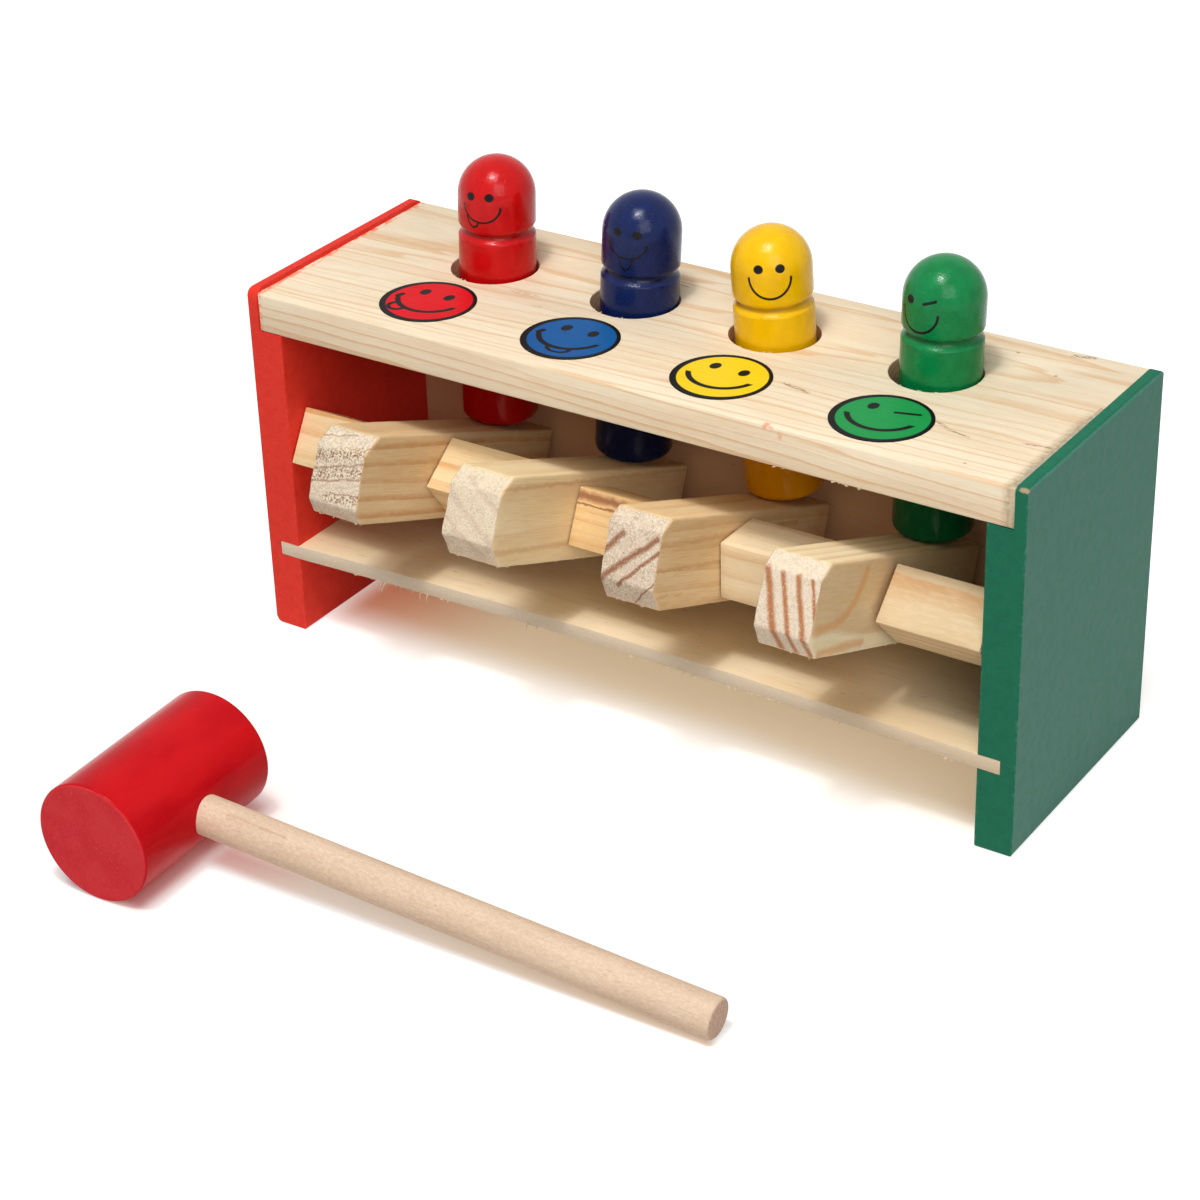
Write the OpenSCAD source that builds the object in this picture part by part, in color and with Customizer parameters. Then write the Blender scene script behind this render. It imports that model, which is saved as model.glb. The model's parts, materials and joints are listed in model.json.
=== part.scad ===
// Peg pounding bench with four tilting levers and its mallet.
// Millimetres. +X runs from the red end to the green end, +Y from front to back, +Z up.
// The origin is on the floor, at the centre of the set's bounding box.

/* [Bench] */
// Length over both end panels
bench_length = 226; // [200:1:300]
// Depth from front to back
bench_depth = 73.5; // [72:0.5:100]
// Height of the deck's top above the floor
bench_height = 99.5; // [96:0.5:120]

/* [End panels] */
// Thickness of an end panel
panel_t = 10.3; // [9:0.1:14]
// Thickness of the lip left outside the deck's end
panel_lip = 3.3; // [2:0.1:5]
// Rounding along the panel's top and foot edges
panel_edge_r = 1.2; // [0.5:0.1:2]
// Rounding along the panel's upright edges
panel_upright_r = 0.4; // [0.2:0.1:1.5]
// Rounding of the panel's four corners, seen from the side
panel_corner_r = 1; // [0.5:0.1:4]
// Rounding of the red panel's two upper corners
red_corner_r = 3.5; // [1:0.1:6]
// Rounding of the green panel's two upper corners
green_corner_r = 1.4; // [1:0.1:6]
// Rounding of the red panel's outer foot edge
red_foot_r = 3.2; // [1.2:0.1:5]
// Rounding of the green panel's outer foot edge
green_foot_r = 1.6; // [1.2:0.1:5]
// Height by which the red panel stands above the deck
red_rise = 1.3; // [0:0.1:2]
// Height by which the green panel stands above the deck
green_rise = 0.4; // [0:0.1:2]
// Depth of the grooves and axle bores in a panel's inner face
groove_depth = 6.3; // [4:0.1:7.5]

/* [Deck] */
// Thickness of the deck board
deck_t = 10.7; // [8:0.1:12]
// Rounding along the deck's long edges
deck_edge_r = 0.8; // [0.2:0.1:2]
// Diameter of a peg hole
hole_d = 23.4; // [23.2:0.1:26]
// Distance of the hole centres from the bench's front
hole_setback = 45.9; // [44:0.1:47]

/* [Shelf and back] */
// Height of the shelf's top above the floor
shelf_top = 26.5; // [20:0.5:30]
// Thickness of the shelf
shelf_t = 4; // [3:0.1:6]
// Thickness of the back board
back_t = 4; // [3:0.1:6]
// Distance of the back board's front face from the bench's front
back_setback = 60.9; // [60:0.1:66]

/* [Axle] */
// Diameter of the axle rod
axle_d = 6; // [4:0.1:8]
// Height of the axle above the floor
axle_height = 55; // [50:0.5:58]
// Distance of the axle from the bench's front
axle_setback = 10.3; // [9:0.1:12]

/* [Levers] */
// Width of a lever
lever_w = 15.5; // [12:0.1:18]
// Height of a lever's section
lever_h = 23; // [18:0.1:26]
// Reach of a lever in front of the axle
lever_front = 40.1; // [30:0.1:50]
// Reach of a lever behind the axle
lever_rear = 47.3; // [44:0.1:48]
// Length of the bevels on a lever's front end
bevel_run = 4.2; // [0.5:0.1:8]
// Height of the bevels on a lever's front end
bevel_rise = 5.1; // [0.5:0.1:8]

/* [Spacer blocks] */
// Side of a spacer block's square section
block_side = 15.4; // [12:0.1:17]
// Room left for an end block to slide along the rod
end_play = 1.8; // [0.6:0.1:4]

/* [Pegs] */
// Diameter of a peg
peg_d = 20.5; // [16:0.1:20.7]
// Length of a peg
peg_length = 73.3; // [66:0.1:90]
// Distance from a peg's top down to its neck groove
neck_drop = 19.8; // [14:0.1:26]
// Depth of the neck groove
neck_depth = 1.3; // [0.3:0.1:3]
// Width of the neck groove at its mouth
neck_w = 3.2; // [1:0.1:5]
// Rounding of a peg's lower edge
peg_foot_r = 2; // [0.5:0.1:5]

/* [Stickers] */
// Diameter of a sticker
sticker_d = 25.4; // [18:0.1:28]
// Thickness of a sticker
sticker_t = 0.2; // [0.1:0.05:0.5]
// Distance by which the stickers are spaced wider than the pegs
sticker_spread = 0.9; // [0:0.1:2]
// Distance of the sticker row from the bench's front, at its middle
sticker_setback = 17.3; // [14:0.1:20]
// Distance by which the row sits to the left of the bench's middle
sticker_left = 0.5; // [0:0.1:2]

/* [Mallet] */
// Diameter of the mallet's head
head_d = 32; // [26:0.5:40]
// Length of the mallet's head
head_length = 49; // [40:0.5:60]
// Rounding of the head's edges
head_edge_r = 0.8; // [0.2:0.1:2]
// Diameter of the handle
handle_d = 10.2; // [8:0.1:14]
// Length of the whole handle
handle_length = 162; // [120:1:170]
// Depth of the handle's socket in the head
socket_depth = 22; // [12:0.5:24]
// Rounding of the handle's free end
handle_end_r = 1; // [0.3:0.1:3]
// Distance of the head's centre in front of the bench
mallet_ahead = 102.7; // [60:0.5:140]
// Distance of the head's centre to the left of the bench's middle
mallet_left = 66.7; // [50:0.5:70]

/* [Clearances] */
// Gap left between pieces that move past or rest on each other
move_clear = 0.3; // [0.2:0.05:0.6]
// Radial gap between the axle rod and what turns on it
turn_clear = 0.08; // [0.04:0.01:0.1]
// Gap on each side of a board or rod glued into its seat
seat_clear = 0.05; // [0.02:0.01:0.15]
// Gap left beyond the end of a board, rod or handle in its seat
end_clear = 0.2; // [0.1:0.05:0.5]

/* [Hidden] */
$fn = 96;

// One overrun serves every cut
over = panel_edge_r + end_clear;

// Turn of the mallet on the floor, and its extent towards the front
mallet_turn = 2.5;
mallet_near = head_length / 2 * cos(mallet_turn) + head_d / 2 * sin(mallet_turn);

// Front face of the bench, placed so that the whole set is centred on Y
front_y = (mallet_ahead + mallet_near - bench_depth) / 2;

// Clear width between the end panels, and the end of what is let into them
inner_half = bench_length / 2 - panel_t;
seat_half = inner_half + groove_depth - end_clear;

// Axle line and deck planes
axle_y = front_y + axle_setback;
hole_y = front_y + hole_setback;
deck_under = bench_height - deck_t;

// Four levers and five equal blocks fill the width, and each end block keeps its play
peg_pitch = (2 * inner_half + lever_w + 4 * move_clear - 2 * end_play) / 5;
sticker_pitch = peg_pitch + sticker_spread;

// Middle of each lever along X
row_x = [for (i = [0:3]) (i - 1.5) * peg_pitch];

// The holes were drilled a little off the even spacing, the yellow peg's the most
hole_drift_shares = [-0.0034, 0.0069, -0.0423, -0.0023];
hole_x = [for (i = [0:3]) row_x[i] + hole_drift_shares[i] * peg_pitch];

// Reach of each lever's sawn front end, as a share of the common reach
lever_reach_shares = [0.99, 1.068, 0.958, 0.99];

// At rest a lever's lower rear corner lies just above the shelf
rear_reach = sqrt(lever_rear * lever_rear + lever_h * lever_h / 4);
rest_drop = axle_height - shelf_top - move_clear;
rest_tilt = asin(rest_drop / rear_reach) - atan2(lever_h / 2, lever_rear);
lever_up = [0, sin(rest_tilt), cos(rest_tilt)];

// Spacer blocks: length between two levers, middles along X and turns about the axle,
// with the end blocks slid up to the panels
block_length = peg_pitch - lever_w - 2 * move_clear;
end_block_x = inner_half - move_clear - block_length / 2;
block_x = [-end_block_x, row_x[0] + peg_pitch / 2, row_x[1] + peg_pitch / 2,
    row_x[2] + peg_pitch / 2, end_block_x];
block_turn = [-30, 36, -25, 0, 45];

// Pegs lean a little in their loose holes, all along one direction
lean_turn = 32;
peg_lean = [1.6, 3.3, -3.2, 1.2];
peg_shift_share = [0.42, 0.5, 0.33, 0.7];
hole_play = (hole_d - peg_d) / 2;
deck_mid = bench_height - deck_t / 2;

function lean_axis(i) = [sin(peg_lean[i]) * cos(lean_turn), sin(peg_lean[i]) * sin(lean_turn),
    cos(peg_lean[i])];
function peg_mid(i) = [hole_x[i] + peg_shift_share[i] * hole_play * cos(lean_turn),
    hole_y + peg_shift_share[i] * hole_play * sin(lean_turn), deck_mid];

// Foot of a peg: its rounded lower edge lies just above the lever's top
function foot_plane(i) = let (d = lean_axis(i) * lever_up)
    [0, axle_y, axle_height] * lever_up + lever_h / 2 + move_clear
    + (peg_d / 2 - peg_foot_r) * sqrt(1 - d * d) + peg_foot_r * (1 - d);
function peg_foot(i) = peg_mid(i)
    + (foot_plane(i) - peg_mid(i) * lever_up) / (lean_axis(i) * lever_up) * lean_axis(i);

// Turned by hand, no two pegs have quite the same length and neck
peg_length_shares = [1.005, 0.985, 0.981, 0.997];
neck_drop_shares = [0.975, 1.025, 0.952, 0.955];

// The sticker row runs slightly out of true with the board
sticker_skew = -0.73;

// The handle's free end and the head both lie on the floor
handle_from_axis = handle_length - socket_depth + head_d / 2 + end_clear;
handle_touch = handle_from_axis - handle_end_r;
handle_dip = asin((head_d / 2 - handle_end_r)
    / sqrt(handle_touch * handle_touch + pow(handle_d / 2 - handle_end_r, 2)))
    - atan2(handle_d / 2 - handle_end_r, handle_touch);

// Rectangle with round corners, from the origin
module rounded_rect(w, h, r) {
    translate([r, 0])
        square([w - 2 * r, h]);
    translate([0, r])
        square([w, h - 2 * r]);
    for (x = [r, w - r]) for (y = [r, h - r])
        translate([x, y])
            circle(r = r);
}

// Bar along X with round long edges, from the origin
module eased_bar(l, w, h, r) {
    rotate([90, 0, 90])
        linear_extrude(l)
            rounded_rect(w, h, r);
}

// Bore or rod along X, centred on the origin
module along_x(l, d) {
    rotate([0, 90, 0])
        cylinder(h = l, d = d, center = true);
}

// End panel with its inner face towards +X: rabbet, two grooves and a blind axle bore
module end_panel(rise, corner_r, foot_r) {
    height = bench_height + rise;
    difference() {
        intersection() {
            linear_extrude(height)
                rounded_rect(panel_t, bench_depth, panel_upright_r);
            eased_bar(panel_t, bench_depth, height, panel_corner_r);
            translate([0, 0, -height])
                eased_bar(panel_t, bench_depth, 2 * height, corner_r);
            translate([0, bench_depth, 0])
                rotate([90, 0, 0])
                    linear_extrude(bench_depth)
                        rounded_rect(panel_t, height, panel_edge_r);
            translate([0, bench_depth, 0])
                rotate([90, 0, 0])
                    linear_extrude(bench_depth)
                        rounded_rect(2 * panel_t, 2 * height, foot_r);
        }
        translate([panel_lip, -over, deck_under])
            cube([panel_t, bench_depth + 2 * over, deck_t + rise + over]);
        translate([panel_t - groove_depth, -over, shelf_top - shelf_t - seat_clear])
            cube([panel_t, back_setback + back_t + seat_clear + over, shelf_t + 2 * seat_clear]);
        translate([panel_t - groove_depth, back_setback - seat_clear, shelf_top])
            cube([panel_t, back_t + 2 * seat_clear, deck_under - shelf_top + over]);
        translate([panel_t - groove_depth, axle_setback, axle_height])
            rotate([0, 90, 0])
                cylinder(h = panel_t, d = axle_d + 2 * seat_clear);
    }
}

module deck_board() {
    length = bench_length - 2 * panel_lip;
    color("burlywood")
        difference() {
            translate([-length / 2, front_y, deck_under])
                eased_bar(length, bench_depth, deck_t, deck_edge_r);
            for (x = hole_x)
                translate([x, hole_y, deck_under - over])
                    cylinder(h = deck_t + 2 * over, d = hole_d);
        }
}

module red_end_panel() {
    color("tomato")
        translate([-bench_length / 2, front_y, 0])
            end_panel(red_rise, red_corner_r, red_foot_r);
}

module green_end_panel() {
    color("seagreen")
        mirror([1, 0, 0])
            translate([-bench_length / 2, front_y, 0])
                end_panel(green_rise, green_corner_r, green_foot_r);
}

module shelf_board() {
    color("wheat")
        translate([-seat_half, front_y, shelf_top - shelf_t])
            cube([2 * seat_half, back_setback + back_t, shelf_t]);
}

module back_board() {
    color("wheat")
        translate([-seat_half, front_y + back_setback, shelf_top])
            cube([2 * seat_half, back_t, deck_under - shelf_top]);
}

module axle_rod() {
    color("tan")
        translate([0, axle_y, axle_height])
            along_x(2 * seat_half, axle_d);
}

// Lever i: a bar with a bevelled front end and a bore for the axle
module lever(i) {
    reach = lever_front * lever_reach_shares[i];
    color("navajowhite")
        translate([row_x[i], axle_y, axle_height])
            rotate([-rest_tilt, 0, 0])
                difference() {
                    translate([-lever_w / 2, 0, 0])
                        rotate([90, 0, 90])
                            linear_extrude(lever_w)
                                polygon([
                                    [-reach + bevel_run, -lever_h / 2],
                                    [lever_rear, -lever_h / 2],
                                    [lever_rear, lever_h / 2],
                                    [-reach + bevel_run, lever_h / 2],
                                    [-reach, lever_h / 2 - bevel_rise],
                                    [-reach, -lever_h / 2 + bevel_rise]
                                ]);
                    along_x(lever_w + 2 * over, axle_d + 2 * turn_clear);
                }
}

// Spacer block i: a square block on the axle, at its own turn
module spacer_block(i) {
    color("peachpuff")
        translate([block_x[i], axle_y, axle_height])
            rotate([block_turn[i], 0, 0])
                difference() {
                    cube([block_length, block_side, block_side], center = true);
                    along_x(block_length + 2 * over, axle_d + 2 * turn_clear);
                }
}

// Half outline of peg i: round foot, neck groove and domed top
module peg_outline(i) {
    r = peg_d / 2;
    top = peg_length * peg_length_shares[i];
    neck_z = top - neck_drop * neck_drop_shares[i];
    flare = neck_w / 2 * (neck_depth + over) / neck_depth;
    difference() {
        union() {
            square([r - peg_foot_r, top - r]);
            translate([0, peg_foot_r])
                square([r, top - r - peg_foot_r]);
            translate([r - peg_foot_r, peg_foot_r])
                circle(r = peg_foot_r);
            intersection() {
                translate([0, top - r])
                    circle(r = r);
                translate([0, top - r])
                    square([r, r]);
            }
        }
        polygon([
            [r - neck_depth, neck_z],
            [r + over, neck_z + flare],
            [r + over, neck_z - flare]
        ]);
    }
}

// Peg i, standing on its lever and leaning in its hole
module peg(i, c) {
    color(c)
        translate(peg_foot(i))
            rotate([0, peg_lean[i], lean_turn])
                rotate_extrude()
                    peg_outline(i);
}

// Sticker i, a thin disc on the deck
module sticker(i, c) {
    color(c)
        translate([-sticker_left, front_y + sticker_setback, bench_height])
            rotate([0, 0, sticker_skew])
                translate([(i - 1.5) * sticker_pitch, 0, 0])
                    cylinder(h = sticker_t, d = sticker_d);
}

// Places the mallet's pieces: head along Y, handle along +X and down to the floor
module mallet_place() {
    translate([-mallet_left, front_y - mallet_ahead, head_d / 2])
        rotate([0, handle_dip, mallet_turn])
            children();
}

module mallet_head() {
    r = head_d / 2;
    color("firebrick")
        mallet_place()
            difference() {
                rotate([90, 0, 0])
                    translate([0, 0, -head_length / 2])
                        rotate_extrude()
                            intersection() {
                                translate([-r, 0])
                                    rounded_rect(head_d, head_length, head_edge_r);
                                square([r, head_length]);
                            }
                translate([r - socket_depth, 0, 0])
                    rotate([0, 90, 0])
                        cylinder(h = socket_depth + over, d = handle_d + 2 * seat_clear);
            }
}

module mallet_handle() {
    r = handle_d / 2;
    color("bisque")
        mallet_place()
            translate([head_d / 2 - socket_depth + end_clear, 0, 0])
                rotate([0, 90, 0])
                    rotate_extrude() {
                        square([r - handle_end_r, handle_length]);
                        square([r, handle_length - handle_end_r]);
                        translate([r - handle_end_r, handle_length - handle_end_r])
                            circle(r = handle_end_r);
                    }
}

deck_board();
red_end_panel();
green_end_panel();
shelf_board();
back_board();
axle_rod();
lever(0);  // red_peg_lever
lever(1);  // blue_peg_lever
lever(2);  // yellow_peg_lever
lever(3);  // green_peg_lever
spacer_block(0);  // spacer_block_1
spacer_block(1);  // spacer_block_2
spacer_block(2);  // spacer_block_3
spacer_block(3);  // spacer_block_4
spacer_block(4);  // spacer_block_5
peg(0, "crimson");  // red_peg
peg(1, "midnightblue");  // blue_peg
peg(2, "gold");  // yellow_peg
peg(3, "forestgreen");  // green_peg
sticker(0, "red");  // red_sticker
sticker(1, "dodgerblue");  // blue_sticker
sticker(2, "yellow");  // yellow_sticker
sticker(3, "limegreen");  // green_sticker
mallet_head();
mallet_handle();
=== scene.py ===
# %% [markdown]
# # A peg pounding bench
#
# The toy is a small pine bench between two painted end panels. Four pegs stand in holes in its
# deck, and under each peg a lever tilts on an axle rod, with loose spacer blocks between the
# levers. A mallet lies in front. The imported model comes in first: every piece as a plain solid,
# in metres, with +X running from the red end to the green end and the floor at zero. What
# follows gives each piece the shape and the finish that it has in the photograph.

# %% Load the solids
import json
import math
import random

import bmesh
import bpy
from mathutils import Euler, Matrix, Vector


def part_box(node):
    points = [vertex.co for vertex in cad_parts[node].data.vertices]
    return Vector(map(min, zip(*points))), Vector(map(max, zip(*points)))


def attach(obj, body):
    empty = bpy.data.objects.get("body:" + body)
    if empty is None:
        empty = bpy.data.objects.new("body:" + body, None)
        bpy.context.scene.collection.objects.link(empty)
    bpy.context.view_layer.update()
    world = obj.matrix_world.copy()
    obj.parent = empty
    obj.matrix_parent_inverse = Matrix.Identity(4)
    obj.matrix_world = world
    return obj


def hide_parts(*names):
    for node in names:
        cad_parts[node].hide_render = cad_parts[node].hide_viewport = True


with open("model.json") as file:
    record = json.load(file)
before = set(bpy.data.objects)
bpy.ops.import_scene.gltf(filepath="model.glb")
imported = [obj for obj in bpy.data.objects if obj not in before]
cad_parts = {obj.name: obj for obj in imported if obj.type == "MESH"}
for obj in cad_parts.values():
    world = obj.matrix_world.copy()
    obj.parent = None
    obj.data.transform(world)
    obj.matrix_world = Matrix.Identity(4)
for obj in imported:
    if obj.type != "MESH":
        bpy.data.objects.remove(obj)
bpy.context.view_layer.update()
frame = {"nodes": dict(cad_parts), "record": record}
nodes = frame["nodes"]
scene = bpy.context.scene
MM = 0.001

# %% [markdown]
# ## Camera
#
# The photograph is taken from the front right and from above, from about 0.9 m away, with a
# long lens that keeps the bench's edges nearly parallel. A camera could be aimed with a Track To
# constraint. Here its place and turn are written out, because the view has to match the
# photograph's to a millimetre.

# %% Camera
camera_data = bpy.data.cameras.new("camera")
camera_data.sensor_width = 36
camera_data.lens = 89.95
camera = bpy.data.objects.new("camera", camera_data)
camera.location = (0.36805, -0.52082, 0.41202)
camera.rotation_euler = [math.radians(angle) for angle in (60.543, 1.595, 33.300)]
scene.collection.objects.link(camera)
scene.camera = camera
scene.view_settings.view_transform = "Standard"
print("camera:", tuple(round(value, 3) for value in camera.location))

# %% [markdown]
# ## Shader maths in Python
#
# Wood grain is arithmetic: how far a point lies from the pith of the tree, which growth ring
# that makes, and how dark that ring is. Math nodes could be added and linked by hand, but ten of
# them already hide the formula. So one small class wraps a socket and overloads Python's
# operators, and an expression such as `1 - mask * 0.3` adds its own nodes.

# %% A value on its way through a shader
class Term:
    """An output socket that can be used in an expression."""

    def __init__(self, finish, socket):
        self.finish = finish
        self.socket = socket

    def maths(self, operation, *others):
        values = dict(enumerate((self, *others)))
        return self.finish.node("Math", values, operation=operation)

    def __add__(self, other):
        return self.maths("ADD", other)

    def __mul__(self, other):
        return self.maths("MULTIPLY", other)

    def __sub__(self, other):
        return self.maths("SUBTRACT", other)

    def __rsub__(self, other):
        return self.finish.node("Math", {0: other, 1: self}, operation="SUBTRACT")

    def __truediv__(self, other):
        return self.maths("DIVIDE", other)

    def __pow__(self, other):
        return self.maths("POWER", other)

    def __abs__(self):
        return self.maths("ABSOLUTE")

    __radd__ = __add__
    __rmul__ = __mul__

    def least(self, other):
        return self.maths("MINIMUM", other)

    def most(self, other):
        return self.maths("MAXIMUM", other)

    def floor(self):
        return self.maths("FLOOR")

    def step(self, low, high):
        """0 below low, 1 above high, and a smooth rise between them."""
        values = {0: self, 1: low, 2: high}
        return self.finish.node("MapRange", values, interpolation_type="SMOOTHSTEP")


print("operators ready")

# %% [markdown]
# Any other node comes from one method: its type, its settings, which are set first, and the
# values or links of its sockets. `Finish` is one material with its Principled shader. Patterns
# read Object coordinates, because every finished piece sits at the origin with its place in its
# mesh. A Mapping node of the Texture type undoes a piece's own place and turn, and a scale of
# 0.001 makes one unit a millimetre, so that sizes in a pattern can be read like sizes on a
# drawing.

# %% A finish and its nodes
class Finish:
    """One material, with a method that adds nodes to it."""

    def __init__(self, name, place=(0, 0, 0), turn=(0, 0, 0)):
        self.material = bpy.data.materials.new(name)
        self.material.use_nodes = True
        self.tree = self.material.node_tree
        self.shader = self.tree.nodes["Principled BSDF"]
        where = self.node("TexCoord", {}, out="Object")
        local = self.node("Mapping", {"Vector": where, "Location": [v * MM for v in place],
                                      "Rotation": turn, "Scale": (MM, MM, MM)},
                          vector_type="TEXTURE")
        self.x, self.y, self.z = self.split(local)

    def node(self, kind, sockets, out=0, **settings):
        node = self.tree.nodes.new("ShaderNode" + kind)
        for name, value in settings.items():
            setattr(node, name, value)
        for name, value in sockets.items():
            self.feed(node.inputs[name], value)
        return Term(self, node.outputs[out])

    def feed(self, socket, value):
        if isinstance(value, Term):
            self.tree.links.new(value.socket, socket)
        elif socket.type == "RGBA":
            socket.default_value = (*value, 1)
        else:
            socket.default_value = value

    def split(self, vector):
        node = self.node("SeparateXYZ", {0: vector}).socket.node
        return [Term(self, output) for output in node.outputs]

    def join(self, x, y, z):
        return self.node("CombineXYZ", {0: x, 1: y, 2: z})

    def mix(self, factor, first, second):
        return self.node("Mix", {0: factor, 6: first, 7: second}, out=2, data_type="RGBA")

    def layers(self, colour, *coats):
        """Lays coats over a colour, each given by its cover from 0 to 1 and its own colour."""
        for cover, coat in coats:
            colour = self.mix(cover, colour, coat)
        return colour

    def noise(self, x, y, z, detail=2.0, roughness=0.5):
        """Soft noise from 0 to 1 whose blobs are about one unit of x, y and z across."""
        return self.node("TexNoise", {"Vector": self.join(x, y, z), "Scale": 1.0,
                                      "Detail": detail, "Roughness": roughness})

    def own_noise(self, scale, **settings):
        """The same noise at one scale along all three axes of the piece."""
        return self.noise(self.x * scale, self.y * scale, self.z * scale, **settings)

    def streaks(self, along, across, shift=0.0, **settings):
        """Noise drawn out along the X axis, as the fibres of wood are."""
        return self.noise(self.x * along, self.y * across, self.z * across + shift, **settings)

    def facing(self, turn=(0, 0, 0)):
        """The surface's direction, in the piece's own turn."""
        normal = self.node("TexCoord", {}, out="Normal")
        return self.split(self.node("Mapping", {"Vector": normal, "Rotation": turn},
                                    vector_type="TEXTURE"))

    def bump(self, height, depth):
        """Relief of a height from 0 to 1, with its depth in millimetres."""
        return self.node("Bump", {"Height": height, "Distance": depth * MM})

    def surface(self, **sockets):
        """Sets the Principled shader's sockets, given with _ for a space."""
        for name, value in sockets.items():
            self.feed(self.shader.inputs[name.replace("_", " ")], value)
        return self

    def coat(self, colour, roughness, height, depth, shine):
        """Colour, roughness, a relief with its depth in millimetres, and specular level."""
        return self.surface(Base_Color=colour, Roughness=roughness,
                            Normal=self.bump(height, depth), Specular_IOR_Level=shine)


def tone(red, green, blue):
    """A colour from 0 to 255, as seen on a screen, as the linear values of a shader."""
    return tuple(value / 3294.6 if value < 10.3 else ((value / 255 + 0.055) / 1.055) ** 2.4
                 for value in (red, green, blue))


def dimmed(colour, share):
    return tuple(value * share for value in colour)


print("mid grey is", tuple(round(value, 3) for value in tone(128, 128, 128)))

# %% [markdown]
# ## Studio
#
# The photograph is a packshot: a white sweep, one soft light overhead and a wide fill from the
# front. More light would whiten the floor, and would also bleach the pine. So the lamps stay at
# a plain level. The floor and the world add white only to what the camera and mirror-like
# reflections see, through Light Path, and the floor still shows the toy's shadow, with the warm
# light that the wood and the paint throw into it. The floor's glow also paints light and shade
# into that: a warm painted shade under the bench, redder towards the red panel, a rosy painted
# glow beside the mallet's head, painted shadows where the head and the handle come near the
# floor, and painted light that washes out the shadows in front of the handle and at the sides
# and back of the bench. The painted shadows by the loose mallet come and go with an Ambient
# Occlusion node, so they leave when it is lifted. Far from the toy, where the lamps hardly
# reach, the floor adds more white, and no horizon shows from any side.

# %% Floor
def seen_directly(finish):
    """1 for rays from the camera, a gloss or a glass, 0 for light that bounces."""
    rays = finish.node("LightPath", {}).socket.node.outputs
    camera_ray, glossy, through = (Term(finish, rays[name]) for name in
                                   ("Is Camera Ray", "Is Glossy Ray", "Is Transmission Ray"))
    return camera_ray.most(glossy).most(through)


bpy.ops.object.select_all(action="DESELECT")
bpy.ops.mesh.primitive_plane_add(size=8)
floor = bpy.context.object
floor.name = "floor"
sweep = Finish("white_sweep")
sweep.surface(Base_Color=tone(218, 214, 210), Roughness=0.9, Specular_IOR_Level=0.0)
x, y = sweep.x, sweep.y

# Under the bench: a painted shade, warm like the light from the pine and redder towards the red
# panel
shade = ((1 - abs(x).step(96, 112)) * (y + x.step(20, 90) * 6).step(24, 50)
         * (1 - y.step(105, 125)))
under = sweep.mix(1 - x.step(-100, -45), (0.41, 0.30, 0.18), (0.29, 0.07, 0.02))

# Round the mallet: a rosy painted glow beside the head, like the red light it throws, and
# painted shadows, dark red by the head and tan under the handle, where they come near the floor,
# which the Ambient Occlusion finds. In front of the handle the glow is whiter: painted light that
# washes out the handle's shadow there.
occlusion = sweep.node("AmbientOcclusion", {"Distance": 0.06}, out="AO", samples=2)
crowded = 1 - occlusion.step(0.8, 0.97)
MALLET_X, MALLET_Y = -66.7, -75.5
head_far = ((x - MALLET_X) ** 2 + (y - MALLET_Y) ** 2) ** 0.5
painted_rosy_glow = (1 - head_far.step(24, 52)) * x.step(-75, -62) * 0.9
painted_head_shadow = (1 - abs(x + y * 0.044 + 70.0).step(9, 14)) * y.step(-101, -96) * (1 - y.step(-50, -42))
handle_side = x.step(-56, -50) * (1 - x.step(88, 92))
painted_handle_shadow = y.step(-74, -72) * (1 - (y + x * 0.056).step(-66.5, -64.5)) * handle_side
painted_handle_shadow_tone = sweep.mix(x.step(-50, -22), (0.36, 0.17, 0.15), (0.37, 0.26, 0.17))
painted_light_before_handle = (1 - y.step(-75.5, -73.5)) * handle_side
# The glow seen directly: white, with the painted marks laid over it, then whiter from the bench's
# front line back, which is painted light that washes the bench's shadow off the floor at its
# sides and back, and whitest far away
white = sweep.layers(
    (0.44, 0.44, 0.44), (painted_rosy_glow, (0.44, 0.33, 0.32)), (painted_head_shadow * crowded, (0.17, 0.01, 0.01)),
    (painted_handle_shadow * crowded, painted_handle_shadow_tone), (painted_light_before_handle, (0.53, 0.53, 0.53)),
    (y.step(12, 26), (0.74, 0.74, 0.74)),
    (((x * x + y * y) ** 0.5).step(230, 700), (0.9, 0.9, 0.9)))
glow = sweep.node("Emission", {"Color": sweep.mix(shade, white, under),
                               "Strength": seen_directly(sweep)})
both = sweep.node("AddShader", {0: Term(sweep, sweep.shader.outputs[0]), 1: glow})
sweep.feed(sweep.tree.nodes["Material Output"].inputs["Surface"], both)
floor.data.materials.append(sweep.material)
print("floor:", floor.name)

# %% World and lamps
world = bpy.data.worlds.new("studio")
scene.world = world
world.use_nodes = True
sky = Finish.__new__(Finish)
sky.tree = world.node_tree
backdrop = seen_directly(sky) * 0.83 + 0.17
sky.feed(sky.tree.nodes["Background"].inputs["Strength"], backdrop)
sky.feed(sky.tree.nodes["Background"].inputs["Color"], (1, 1, 1))


def softbox(name, place, aim, size, watts):
    data = bpy.data.lights.new(name, "AREA")
    data.shape = "SQUARE"
    data.size = size
    data.energy = watts
    lamp = bpy.data.objects.new(name, data)
    lamp.location = place
    lamp.rotation_euler = (Vector(aim) - Vector(place)).to_track_quat("-Z", "Y").to_euler()
    scene.collection.objects.link(lamp)


softbox("overhead", (0.05, -0.37, 1.15), (0, 0, 0.05), 0.5, 6.7)
softbox("overhead_core", (0.05, -0.37, 1.145), (0, 0, 0.05), 0.12, 4.3)
softbox("right_fill", (0.8, -0.85, 0.85), (0, 0, 0.05), 0.8, 6.5)
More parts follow.
